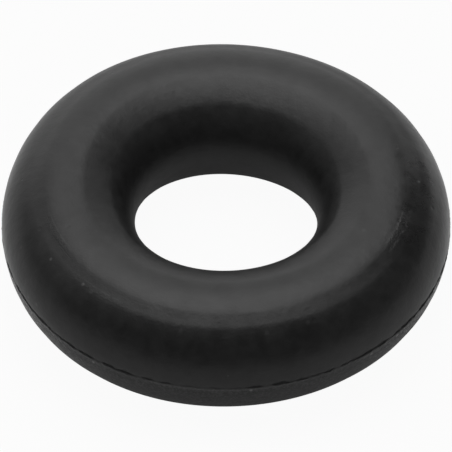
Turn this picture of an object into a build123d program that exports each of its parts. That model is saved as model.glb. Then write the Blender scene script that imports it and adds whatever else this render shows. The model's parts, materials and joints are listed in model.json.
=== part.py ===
from build123d import *

from math import asin, degrees, radians, sin, sqrt, tan
import os

# Moulded rubber o-ring, lying flat. The origin is the centre of the ring, and +Z is its axis.
# Two mould halves met at the middle of the section, on the outside and in the bore.

inner_diameter = 3.63  # free bore of the ring
section_diameter = 2.62  # thickness of the round cord of rubber

# The mould leaves a narrow flat on the outer side of the crown, above and below.
band_width = 0.285  # across the flat
band_angle = 63.25  # which way it faces, up from the outer parting line

# On the bore side a crease ends the crown, and a shoulder that bends less than the round
# section leads down into the bore. Its angles go up from the outer parting line.
shoulder_start = 103.5  # where the crease lies on the section
shoulder_end = 130  # where the round section goes on
shoulder_bend = 16  # how far the surface turns along the shoulder

# The outer parting line keeps a low ridge of trimmed flash.
flash_height = 0.02  # how far the ridge stands proud of the round section
flash_base = 0.10  # width of the ridge where it leaves the rubber
flash_land = 0.03  # width of its trimmed top

# The inner parting line is ground flush, which leaves a narrow straight land in the bore.
bore_land = 0.08

section_radius = section_diameter / 2
pitch_radius = inner_diameter / 2 + sqrt(section_radius**2 - (bore_land / 2) ** 2)
section_centre = (pitch_radius, 0)
outer_crest = pitch_radius + section_radius + flash_height

flash_half_angle = degrees(asin(flash_base / section_diameter))
land_half_angle = degrees(asin(bore_land / section_diameter))
band_half_angle = degrees(asin(band_width / section_diameter))
band_start = band_angle - band_half_angle
band_end = band_angle + band_half_angle

shoulder_chord = section_diameter * sin(radians(shoulder_end - shoulder_start) / 2)
shoulder_rise = shoulder_chord / 2 * tan(radians(shoulder_bend) / 4)


def section_arc(start, end):
    """An arc of the round section, between two angles up from the outer parting line."""
    return CenterArc(section_centre, section_radius, start, end - start)


with BuildPart() as o_ring:
    with BuildSketch(Plane.XZ):
        with BuildLine():
            # The upper half, from the flash over the crown to the land in the bore.
            outer_side = section_arc(flash_half_angle, band_start)
            crown = section_arc(band_end, shoulder_start)
            bore_side = section_arc(shoulder_end, 180 - land_half_angle)
            Line(outer_side @ 1, crown @ 0)
            SagittaArc(bore_side @ 0, crown @ 1, shoulder_rise)
            flash_flank = Line((outer_crest, flash_land / 2), outer_side @ 0)
            # The lower half is the same. The top of the flash and the bore's land join the two.
            mirror(about=Plane.XZ)
            Line((outer_crest, -flash_land / 2), flash_flank @ 0)
            Line(bore_side @ 1, (inner_diameter / 2, -bore_land / 2))
        make_face()
    revolve(axis=Axis.Z)

o_ring.part.label = "o_ring"

os.makedirs("parts", exist_ok=True)
export_step(o_ring.part, "parts/o_ring.step")
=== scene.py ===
import json
from math import asin, cos, exp, pi, radians, sin, sqrt

import bpy
from mathutils import Matrix, Vector, noise


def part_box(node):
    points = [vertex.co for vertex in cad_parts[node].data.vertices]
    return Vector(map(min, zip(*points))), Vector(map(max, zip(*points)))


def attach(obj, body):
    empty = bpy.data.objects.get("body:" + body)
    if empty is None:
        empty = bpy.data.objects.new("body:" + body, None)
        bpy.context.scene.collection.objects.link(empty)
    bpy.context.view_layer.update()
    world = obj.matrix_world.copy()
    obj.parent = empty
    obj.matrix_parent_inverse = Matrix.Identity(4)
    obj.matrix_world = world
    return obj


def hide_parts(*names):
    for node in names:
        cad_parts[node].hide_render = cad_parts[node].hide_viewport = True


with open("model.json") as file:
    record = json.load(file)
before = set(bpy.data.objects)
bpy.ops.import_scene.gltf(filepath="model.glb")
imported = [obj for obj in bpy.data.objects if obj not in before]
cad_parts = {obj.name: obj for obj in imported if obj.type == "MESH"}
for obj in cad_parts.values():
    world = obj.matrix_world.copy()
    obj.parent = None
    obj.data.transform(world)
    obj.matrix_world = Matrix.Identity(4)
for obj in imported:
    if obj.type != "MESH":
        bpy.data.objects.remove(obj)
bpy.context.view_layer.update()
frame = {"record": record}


# ---- The ring -------------------------------------------------------------------------------
# One endless cord of black nitrile rubber, pressed and cured between two mould halves that meet
# at the middle of the section. Outside they leave a low ridge of torn flash, with a broken nick
# above it; in the bore it is ground flush. Lying free, the soft ring is a hair out of round.
MM = 0.001
mounts = {mount["name"]: mount for mount in frame["record"]["mounts"]}
bore_radius = mounts["bore"]["dims"]["r_mm"] * MM
outer_crest = mounts["rim"]["dims"]["r_mm"] * MM
flash_height = 0.02 * MM
flash_base = 0.10 * MM
flash_zone = 0.13 * MM  # how far from the middle of the section the flash may wander
nick_depth = 0.010 * MM
# Where the flash is rubbed down: the turn and its reach in degrees, and how much.
RUBBED_PLACES = [(-7, 15, 1.0), (-84, 14, 1.0), (-55, 18, 0.15), (87, 13, 0.9)]
band_width = 0.285 * MM
outer_band_angle = radians(63.25)
shoulder_start = radians(103.5)
shoulder_end = radians(130.0)
shoulder_bend = radians(16.0)  # how far the surface turns along the shoulder
crease_softness = 0.022 * MM  # how far the round of each crease reaches, on both sides of it

wall_radius = outer_crest - flash_height
section_radius = (wall_radius - bore_radius) / 2
pitch_radius = (wall_radius + bore_radius) / 2
band_half_angle = asin(band_width / 2 / section_radius)

STEPS_ROUND_RING = 1170
STEPS_ON_WALL = 8
STEPS_ON_CROWN = 5
STEPS_ON_FACE = 4


def on_section(angle):
    """A point of the round section, as (distance out from its middle, height)."""
    return section_radius * cos(angle), section_radius * sin(angle)


def arc_points(start, end, steps):
    """Points along the section's arc, set closer towards both ends, where the shape changes."""
    spans = [(1 - cos(pi * step / steps)) / 2 for step in range(steps + 1)]
    return [on_section(start + (end - start) * span) for span in spans]


def eased_points(start, end, bend):
    """A face of the mould between two creases, almost flat, with both creases eased by a hair."""
    a, b = Vector(on_section(start)), Vector(on_section(end))
    facing = (start + end) / 2
    radius = (b - a).length / 2 / sin(bend / 2)
    centre = (a + b) / 2 - Vector((cos(facing), sin(facing))) * radius * cos(bend / 2)
    ease = crease_softness / radius
    first, last = facing - bend / 2, facing + bend / 2
    low, high = first + 3 * ease, last - 3 * ease
    turns = [low + (high - low) * step / STEPS_ON_FACE for step in range(STEPS_ON_FACE + 1)]
    turns = [first + ease] + turns + [last - ease]
    return [(centre.x + radius * cos(turn), centre.y + radius * sin(turn)) for turn in turns]


def upper_half():
    """The wall from the flash over the crown to the parting line in the bore."""
    ease = crease_softness / section_radius
    band = (outer_band_angle - band_half_angle, outer_band_angle + band_half_angle)
    return (
        arc_points(asin(flash_zone / section_radius), band[0] - ease, STEPS_ON_WALL)
        + eased_points(*band, bend=radians(0.2))
        + arc_points(band[1] + ease, shoulder_start - ease, STEPS_ON_CROWN)
        + eased_points(shoulder_start, shoulder_end, shoulder_bend)
        + arc_points(shoulder_end + ease, pi, STEPS_ON_WALL)
    )


def between(low, value, high):
    return min(high, max(low, value))


def out_of_round(turn):
    """How the radius of the free ring differs, turning from its front towards its right."""
    return 1 + 0.002 * cos(2 * turn) - 0.0057 * sin(3 * turn) - 0.0044 * cos(4 * turn)


def rubbed_down(turn):
    """How much of the ridge has been rubbed down there, from 0 to about 1."""
    rubbed = 0.0
    for middle, reach, share in RUBBED_PLACES:
        rubbed += share * exp(-(((turn - radians(middle)) / radians(reach)) ** 2))
    return rubbed


def flash_ridge(turn):
    """The flash from low to high there, as (distance out from the section's middle, height)."""
    spot = Vector((sin(turn), -cos(turn), 0))

    def rough(waves, shift=0):
        """Noise round the ring, from about -1 to 1, that changes faster with more waves."""
        return noise.noise(spot * waves + Vector((0, 0, shift)))

    coarse = rough(17)
    fine = rough(60, shift=5)
    rubbed = rubbed_down(turn)
    torn = 0.7 + 1.2 * coarse + 0.6 * rough(75) - 0.3 * rubbed
    proud = flash_height * between(0.15, torn, 1.0) * (1 - 0.5 * rubbed)
    cut = nick_depth * between(0.0, 0.6 + 1.8 * coarse + 1.5 * fine, 1.2) * (1 - 0.85 * rubbed)
    ragged = between(0.0, 0.5 + 1.4 * rough(48), 1.0)  # how wide the nick is torn
    folded = between(0.0, 0.15 + 1.6 * fine - coarse + 0.5 * rubbed, 1.0)
    wander = (0.014 + 0.005 * rough(2.5) + 0.022 * rough(32)) * MM
    # Each point is (share of the flash's width, how far it stands proud of the round section).
    shape = [
        (-0.50, 0.0),
        (-0.34, (0.30 + 0.65 * folded) * proud),
        (-0.16, 0.85 * proud),
        (0.00, (1.0 - 0.45 * folded) * proud),
        (0.12, (0.9 - 0.6 * folded) * proud),
        (0.20, 0.1 * proud - 0.5 * cut),
        (0.28, -cut),
        (0.38 + 0.05 * ragged, -cut),
        (0.50 + 0.09 * ragged, -0.4 * cut),
        (0.62 + 0.13 * ragged, 0.0),
    ]
    ridge = []
    for share_of_width, out in shape:
        height = share_of_width * flash_base + wander
        ridge.append((sqrt(section_radius**2 - height**2) + out, height))
    return ridge


def ring_mesh():
    """The section swept round the ring in even steps, with the flash uneven along its way."""
    upper = upper_half()
    walls = upper + [(out, -height) for out, height in reversed(upper[:-1])]
    verts = []
    for step in range(STEPS_ROUND_RING):
        turn = 2 * pi * step / STEPS_ROUND_RING - pi
        centre = pitch_radius * out_of_round(turn)
        profile = flash_ridge(turn) + walls
        for out, height in profile:
            verts.append(((centre + out) * sin(turn), -(centre + out) * cos(turn), height))
    count = len(profile)
    faces = []
    for step in range(STEPS_ROUND_RING):
        here, there = step * count, (step + 1) % STEPS_ROUND_RING * count
        for place in range(count):
            after = (place + 1) % count
            faces.append((here + place, there + place, there + after, here + after))
    mesh = bpy.data.meshes.new("o_ring_rubber")
    mesh.from_pydata(verts, [], faces)
    mesh.shade_smooth()
    mesh.update()
    return mesh


class Socket:
    """A socket in a material. Arithmetic on it adds Math nodes, and node() any other node."""

    def __init__(self, tree, end=None):
        self.tree = tree
        self.end = end

    def node(self, kind, settings=None, inputs=None, output=0):
        """Adds a node, sets its settings, fills or links its sockets, and gives one output."""
        made = self.tree.nodes.new(kind)
        for name, setting in (settings or {}).items():
            setattr(made, name, setting)
        for name, entry in (inputs or {}).items():
            if isinstance(entry, Socket):
                self.tree.links.new(entry.end, made.inputs[name])
            else:
                made.inputs[name].default_value = entry
        return Socket(self.tree, made.outputs[output]) if made.outputs else None

    def maths(self, operation, first, second=0.0):
        return self.node("ShaderNodeMath", {"operation": operation}, {0: first, 1: second})

    def __add__(self, other):
        return self.maths("ADD", self, other)

    def __radd__(self, other):
        return self.maths("ADD", other, self)

    def __sub__(self, other):
        return self.maths("SUBTRACT", self, other)

    def __rsub__(self, other):
        return self.maths("SUBTRACT", other, self)

    def __mul__(self, other):
        return self.maths("MULTIPLY", self, other)

    def __rmul__(self, other):
        return self.maths("MULTIPLY", other, self)

    def __truediv__(self, other):
        return self.maths("DIVIDE", self, other)

    def __rtruediv__(self, other):
        return self.maths("DIVIDE", other, self)

    def __pow__(self, other):
        return self.maths("POWER", self, other)

    def __rpow__(self, other):
        return self.maths("POWER", other, self)

    def __abs__(self):
        return self.maths("ABSOLUTE", self)

    def rise(self, start, end):
        """Goes smoothly from 0 where this is start to 1 where it is end, either way up."""
        return self.node(
            "ShaderNodeMapRange",
            {"interpolation_type": "SMOOTHSTEP"},
            {"Value": self, "From Min": start, "From Max": end},
        )


def new_material(name):
    """An empty node material, and the bare start of its expressions."""
    material = bpy.data.materials.new(name)
    material.use_nodes = True
    material.node_tree.nodes.clear()
    return material, Socket(material.node_tree)


def finish_material(start, surface):
    start.node("ShaderNodeOutputMaterial", inputs={"Surface": surface})


def grey(shade):
    return (shade, shade, shade, 1)


def black_rubber():
    """Satin black rubber: an uneven skin, traces of the turned mould, scuffs, dust and pits, and
    painted light: paler towards the back, with painted reflection and highlights by the parting
    line.
    """
    material, start = new_material("moulded_black_rubber")
    place = start.node("ShaderNodeTexCoord", output="Object")
    x, y, z = (start.node("ShaderNodeSeparateXYZ", inputs={0: place}, output=axis) for axis in "XYZ")
    to_degrees = 180 / pi
    ring_radius = (x * x + y * y) ** 0.5
    turn = start.maths("ARCTAN2", x, 0 - y) * to_degrees  # from the front towards the right
    lean = start.maths("ARCTAN2", z, ring_radius - pitch_radius) * to_degrees  # up from outside
    level = z / MM  # above the middle of the section

    def uneven(size, detail=2.0):
        """Cloudy noise from 0 to 1 with lumps of that size in millimetres."""
        inputs = {"Vector": place, "Scale": 1 / (size * MM), "Detail": detail, "Roughness": 0.55}
        return start.node("ShaderNodeTexNoise", inputs=inputs)

    def patch(at_turn, at_lean, half_turn, half_lean):
        """1 in the middle of a patch of the skin, and 0 outside it. Sizes are in degrees."""
        away = abs(turn - at_turn)
        away = start.maths("MINIMUM", away, 360 - away)
        return (away / half_turn).rise(1.0, 0.4) * (abs(lean - at_lean) / half_lean).rise(1.0, 0.5)

    def spots(places, reach):
        """1 at each of some single spots, given as (turn, lean), and 0 at that reach from it."""
        found = 0.0
        for at_turn, at_lean in places:
            out, height = on_section(radians(at_lean))
            across = pitch_radius * out_of_round(radians(at_turn)) + out
            middle = (across * sin(radians(at_turn)), -across * cos(radians(at_turn)), height)
            inputs = {0: place, 1: middle}
            away = start.node("ShaderNodeVectorMath", {"operation": "DISTANCE"}, inputs, "Value")
            found = (away / (reach * MM)).rise(1.0, 0.3) + found
        return found

    def specks(spacing, size, share):
        """Scattered round specks: 1 in a speck, for that share of the cells."""
        inputs = {"Vector": place, "Scale": 1 / (spacing * MM)}
        distance = start.node("ShaderNodeTexVoronoi", inputs=inputs)
        cell = start.node("ShaderNodeTexVoronoi", inputs=inputs, output="Color")
        chance = start.node("ShaderNodeSeparateColor", inputs={0: cell})
        return (distance * (spacing / size)).rise(1.0, 0.6) * chance.rise(share, share - 0.02)

    def blend(share, first, second):
        """A colour that goes from the first to the second as the share goes from 0 to 1."""
        inputs = {"Factor": share, 6: first, 7: second}  # 6 and 7 are the node's two colours
        return start.node("ShaderNodeMix", {"data_type": "RGBA"}, inputs, output=2)

    # The moulded skin: soft lumps, a fine grain, and rings that the turned mould left.
    clouds = uneven(0.45)
    blotches = uneven(0.20, detail=3.0)
    grain = uneven(0.05)
    around = {"X": x / ring_radius * 2.5, "Y": y / ring_radius * 2.5, "Z": lean * 0.45}
    along = start.node("ShaderNodeCombineXYZ", inputs=around)
    inputs = {"Vector": along, "Scale": 1.0, "Detail": 2.0}
    tool_marks = start.node("ShaderNodeTexNoise", inputs=inputs)
    hair_lines = tool_marks.rise(0.58, 0.66)

    # The parts of the skin, each from 0 outside to 1 inside.
    outside = (abs(lean) / 90).rise(0.50, 0.40)
    under_line = outside * level.rise(0.03, -0.02)
    top = (abs(lean - 88) / 34).rise(1.0, 0.5)
    # Painted light: 0 at the front to 1 at the back, where the skin is painted paler for light that
    # falls there.
    painted_back_light = (abs(turn) / 180).rise(0.3, 1.0)
    flanks = (abs(turn) / 90).rise(0.30, 0.75) * (abs(turn) / 90).rise(1.5, 1.0)
    scuff = patch(69, 66.5, 11, 6) + 0.6 * patch(-64, 68, 10, 4) + 0.2 * patch(-38, 58, 12, 3)
    marked = 0.7 * patch(87, 66, 12, 7) + patch(-63, 68, 14, 5) + 0.5 * patch(180, 99, 60, 9)
    shiny = patch(84, 58, 34, 26)
    # Painted highlight: a pale line along the ridge's lower flank, where it would catch the light.
    painted_lit_lip = level.rise(-0.07, -0.04) * level.rise(0.015, -0.015)

    # Dust and chalk lie on the skin, and small pits are sunk in it. Crumbs are (turn, lean).
    # Some of the pale marks are painted light, as noted where each is made.
    speckle = uneven(0.065, detail=1.0).rise(0.50, 0.64) * level.rise(-0.80, -0.15)
    # Under the line the pale chalk is partly real specks and partly painted reflection of the white
    # table.
    chalk_and_painted_reflection = grain.rise(0.42, 0.70) * 0.14 * (1 - flanks) + speckle * flanks * 0.6
    crumbs_on_crown = [(-58.5, 52.5), (-44.5, 57), (91, 60)]
    crumbs_on_flash = [(-57.5, -6), (-47.5, -3), (-34, -3.5), (7, -2.5), (40, -3)]
    crumbs_on_flash += [(49, -3.5), (60, -4)]
    # Painted highlights: three pale spots just above the flash, on the left.
    painted_glints_over_flash = [(-63, 5), (-59, 9), (-55, 12)]
    faint_crumbs = [(-41, 56), (62, 94), (24, 51), (-70, 33), (12, 50), (-12, 52)]
    large_pits = [(-65, 80), (-70, 57), (84, 44), (26, 51)]
    dust_and_painted_highlights = specks(0.60, 0.022, 0.25) * 0.1
    dust_and_painted_highlights += spots(crumbs_on_crown, 0.045) * 0.25
    dust_and_painted_highlights += spots(crumbs_on_flash, 0.045) * 0.6
    # Painted highlights over the flash.
    dust_and_painted_highlights += spots(painted_glints_over_flash, 0.05) * 0.12
    dust_and_painted_highlights += spots(faint_crumbs, 0.06) * 0.06
    # Painted highlight: a pale line under the ridge near the front.
    dust_and_painted_highlights += outside * painted_lit_lip * (abs(turn) / 26).rise(1.0, 0.4) * 0.14
    dust_and_painted_highlights += scuff * grain.rise(0.52, 0.64) * 0.07
    pits = specks(0.80, 0.035, 0.25) + spots(large_pits, 0.06)

    # How high the skin stands, in metres.
    micron = 1e-6
    height = (
        clouds * (9 * micron + top * (3 * micron))
        + blotches * (4 * micron)
        + grain
        * (
            1.2 * micron
            - shiny * (0.8 * micron)
            + under_line * (6 * micron + flanks * (8 * micron))
            + scuff * (9 * micron)
        )
        + tool_marks * (0.6 * micron)
        - hair_lines * marked * (1.8 * micron)
        + dust_and_painted_highlights * (2 * micron)
        - pits * (3 * micron)
    )
    skin = start.node("ShaderNodeBump", inputs={"Strength": 1.0, "Distance": 1.0, "Height": height})

    # Black rubber with an uneven tone and painted light that makes it paler towards the back,
    # with chalk (partly painted reflection) and then dust (with painted highlights) over it.
    paleness_and_painted_light = clouds.rise(0.35, 0.65) * 0.3 + blotches.rise(0.3, 0.7) * 0.25 + painted_back_light * 0.45
    tone_with_painted_light = blend(paleness_and_painted_light, grey(0.008), grey(0.026))
    # Painted reflection: the skin is paler under the parting line, partly real chalk specks.
    chalky_with_painted_reflection = blend(under_line * chalk_and_painted_reflection, tone_with_painted_light, grey(0.30))
    dusty_with_painted_highlights = blend(dust_and_painted_highlights, chalky_with_painted_reflection, grey(0.25))
    roughness = 0.33 + blotches * 0.16 + under_line * 0.06 - shiny * 0.13

    def skin_with_sheen(sheen):
        """The whole skin, with a film on it that shows at a slant."""
        inputs = {"Base Color": dusty_with_painted_highlights, "Roughness": roughness, "IOR": 1.5, "Normal": skin}
        inputs.update({"Sheen Weight": sheen, "Sheen Roughness": 0.3, "Sheen Tint": grey(1)})
        return start.node("ShaderNodeBsdfPrincipled", inputs=inputs)

    # Outside, handling has left a film on the skin, more in some places. The bore is clean.
    handled = 0.3 * patch(72, 8, 24, 24) + 0.3 * patch(-58, -4, 36, 24)
    handled += 0.2 * (patch(122, 15, 40, 50) + patch(-128, 15, 42, 50))
    film = 0.3 + flanks * (0.2 + under_line * 0.3) + handled
    film = film * (abs(lean) / 90).rise(1.5, 1.25)
    layers = {0: film, 1: skin_with_sheen(0.0), 2: skin_with_sheen(0.7)}
    rubber = start.node("ShaderNodeMixShader", inputs=layers)
    finish_material(start, rubber)
    return material


ring = bpy.data.objects.new("o_ring_rubber", ring_mesh())
bpy.context.collection.objects.link(ring)
ring.data.materials.append(black_rubber())
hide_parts("o_ring")
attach(ring, "root")


# ---- The table ------------------------------------------------------------------------------
# A plain matt white table top that runs on out of sight on all sides. It isn't part of the
# object: the ring lies on it and leaves a soft shadow there.
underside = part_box("o_ring")[0].z
table_half_width = 2.0
paper_white = 0.66
# How much of plain white each kind of ray sees in place of the lit paper.
SEEN_WHITE = {"Is Camera Ray": 0.95, "Is Transmission Ray": 0.95, "Is Glossy Ray": 0.10}

table_mesh = bpy.data.meshes.new("table")
corners = [
    (x * table_half_width, y * table_half_width, underside)
    for x, y in [(-1, -1), (1, -1), (1, 1), (-1, 1)]
]
table_mesh.from_pydata(corners, [], [(0, 1, 2, 3)])
table = bpy.data.objects.new("table", table_mesh)
bpy.context.collection.objects.link(table)


def white_table():
    """Matt white to the lights. What the camera sees is lifted, so that the table turns white."""
    material, start = new_material("white_table")
    rays = {name: start.node("ShaderNodeLightPath", output=name) for name in SEEN_WHITE}
    lifted = sum(rays[name] * share for name, share in SEEN_WHITE.items())
    paper = start.node("ShaderNodeBsdfDiffuse", inputs={"Color": grey(paper_white)})
    white = start.node("ShaderNodeEmission", inputs={"Color": grey(1), "Strength": 1.0})
    surface = start.node("ShaderNodeMixShader", inputs={0: lifted, 1: paper, 2: white})
    finish_material(start, surface)
    return material


table.data.materials.append(white_table())


# ---- The light ------------------------------------------------------------------------------
# A softbox hangs close over the ring and a little behind it, brighter in its middle. Two dimmer
# panels stand low at the back, a third stands at the left, and a grey room lies all round.
room_grey = 0.09


def soft_panel(name, turn, climb, away, width, depth, radiance, raised=0.0):
    """A flat soft light aimed at the ring, turned from straight behind it towards the right."""
    turn, climb = radians(turn), radians(climb)
    outwards = Vector((cos(climb) * sin(turn), cos(climb) * cos(turn), sin(climb)))
    across = Vector((cos(turn), -sin(turn), 0))
    upwards = across.cross(outwards)
    light = bpy.data.lights.new(name, "AREA")
    light.shape = "RECTANGLE"
    light.size, light.size_y = width, depth
    light.energy = radiance * width * depth * pi
    lamp = bpy.data.objects.new(name, light)
    axes = Matrix((across, -upwards, outwards)).transposed()
    lamp.matrix_world = Matrix.Translation(outwards * away + upwards * raised) @ axes.to_4x4()
    bpy.context.collection.objects.link(lamp)
    return lamp


soft_panel(
    "overhead_wide",
    turn=-4, climb=70, away=0.101, width=0.140, depth=0.093, radiance=0.80, raised=0.023,
)
soft_panel(
    "overhead_middle",
    turn=-4, climb=70, away=0.100, width=0.084, depth=0.117, radiance=1.30, raised=0.012,
)
soft_panel(
    "back_panel", turn=-12, climb=16, away=0.110, width=0.110, depth=0.085, radiance=0.43
)
soft_panel(
    "back_wall", turn=-8, climb=18, away=0.125, width=0.240, depth=0.090, radiance=0.46
)
soft_panel(
    "left_panel", turn=-75, climb=42, away=0.110, width=0.080, depth=0.100, radiance=0.31
)

world = bpy.data.worlds.new("room")
bpy.context.scene.world = world
world.use_nodes = True
world.node_tree.nodes.clear()
air = Socket(world.node_tree)
white_wall = air.node("ShaderNodeBackground", inputs={"Color": grey(1), "Strength": 1.0})
grey_air = air.node("ShaderNodeBackground", inputs={"Color": grey(1), "Strength": room_grey})
seen_by_camera = air.node("ShaderNodeLightPath", output="Is Camera Ray")
room = air.node("ShaderNodeMixShader", inputs={0: seen_by_camera, 1: grey_air, 2: white_wall})
air.node("ShaderNodeOutputWorld", inputs={"Surface": room})


# ---- The camera -----------------------------------------------------------------------------
# A long lens looks down on the ring from the front. The ring almost fills the frame's width and
# lies a little above its middle, turned by less than a degree.
camera_elevation = radians(46.5)
camera_distance = 22 * wall_radius
ring_share_of_frame = 0.996  # the ring's width over the frame's, at the ring's middle
camera_roll = radians(0.75)
ring_above_middle = 0.0205 * wall_radius
ring_left_of_middle = 0.0039 * wall_radius

lens = bpy.data.cameras.new("camera")
lens.sensor_width = 36.0
lens.lens = lens.sensor_width * camera_distance * ring_share_of_frame / (2 * wall_radius)
lens.clip_start = 0.001
lens.clip_end = 10.0
camera = bpy.data.objects.new("camera", lens)
back = Vector((0, -cos(camera_elevation), sin(camera_elevation)))
right = Vector((1, 0, 0))
up = back.cross(right)
aim = right * ring_left_of_middle - up * ring_above_middle
turned = Matrix.Rotation(camera_roll, 3, back)
axes = Matrix((turned @ right, turned @ up, back)).transposed()
camera.matrix_world = Matrix.Translation(aim + back * camera_distance) @ axes.to_4x4()
bpy.context.collection.objects.link(camera)
bpy.context.scene.camera = camera
bpy.context.scene.view_settings.view_transform = "Standard"
